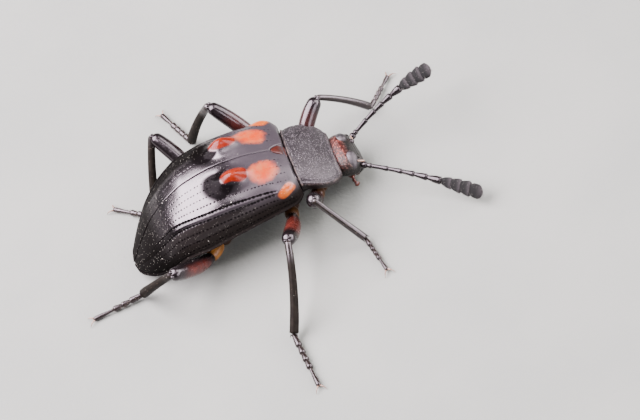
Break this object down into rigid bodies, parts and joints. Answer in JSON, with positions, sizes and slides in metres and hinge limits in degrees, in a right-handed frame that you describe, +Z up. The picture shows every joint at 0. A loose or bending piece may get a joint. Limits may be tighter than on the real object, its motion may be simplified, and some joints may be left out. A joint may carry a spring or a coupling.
{
  "type": "darkling beetle",
  "caption": "Still life-size model of a darkling beetle: domed spotted wing cases with a knob on each side, standing on its spread legs with clubbed feelers forward.",
  "frame": {"origin": "middle of the footprint of the whole beetle, feet and feelers included, on the floor it stands on", "axes": "+X along the body towards the head, +Y to the beetle's left, +Z up"},
  "size_m": [0.0178, 0.0178, 0.0043],
  "materials": {
    "wing_case": "glossy black shell with soft grey front and orange-red spots",
    "belly": "glossy black-brown shell",
    "scutellum": "satin reddish brown",
    "pronotum": "matte dark grey, finely granular",
    "head": "satin reddish brown to dark grey, finely granular",
    "eye": "faceted dark grey, satin",
    "mouthparts": "glossy reddish brown",
    "antenna": "glossy black-brown beads",
    "antenna_club": "matte black with short pale down",
    "leg": "glossy black-brown with fine hairs",
    "thigh": "glossy black with a reddish middle",
    "foot": "satin brown with pale claws"
  },
  "bodies": {
    "root": {"antenna_club_left": "antenna_club", "antenna_club_right": "antenna_club", "antenna_scape_left": "antenna", "antenna_scape_right": "antenna", "antenna_shaft_left": "antenna", "antenna_shaft_right": "antenna", "coxa_front_left": "leg", "coxa_front_right": "leg", "coxa_hind_left": "leg", "coxa_hind_right": "leg", "coxa_mid_left": "leg", "coxa_mid_right": "leg", "elytron_left": "wing_case", "elytron_right": "wing_case", "eye_left": "eye", "eye_right": "eye", "femur_front_left": "thigh", "femur_front_right": "thigh", "femur_hind_left": "thigh", "femur_hind_right": "thigh", "femur_mid_left": "thigh", "femur_mid_right": "thigh", "head": "head", "hindbody": "belly", "mouthparts": "mouthparts", "palp_left": "mouthparts", "palp_right": "mouthparts", "prothorax": "pronotum", "scutellum": "scutellum", "tarsus_front_left": "foot", "tarsus_front_right": "foot", "tarsus_hind_left": "foot", "tarsus_hind_right": "foot", "tarsus_mid_left": "foot", "tarsus_mid_right": "foot", "tibia_front_left": "leg", "tibia_front_right": "leg", "tibia_hind_left": "leg", "tibia_hind_right": "leg", "tibia_mid_left": "leg", "tibia_mid_right": "leg"}
  },
  "joints": []
}
